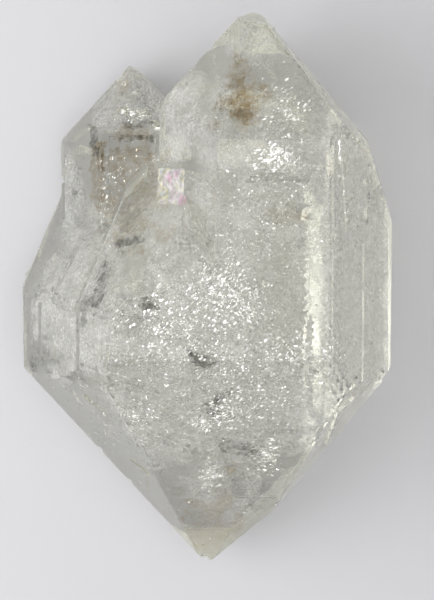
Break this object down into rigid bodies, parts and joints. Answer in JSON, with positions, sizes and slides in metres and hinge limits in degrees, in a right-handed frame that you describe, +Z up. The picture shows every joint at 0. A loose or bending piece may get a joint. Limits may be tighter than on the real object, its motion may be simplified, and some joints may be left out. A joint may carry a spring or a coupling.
{
  "type": "herkimer diamond quartz",
  "caption": "Cluster of clear quartz crystals, each pointed at both ends, grown together in parallel and lying flat on its back.",
  "frame": {"origin": "middle of the outline seen from the front, on the floor that the flat back rests on", "axes": "+Y along the crystals, from the shared lower point to the taller upper point; +X to the right; +Z up, out of the broad front faces"},
  "size_m": [0.0408, 0.0638, 0.0273],
  "materials": {
    "quartz": "natural crystal faces, clear with white veils inside"
  },
  "bodies": {
    "root": {"quartz_cluster": "quartz"}
  },
  "joints": []
}
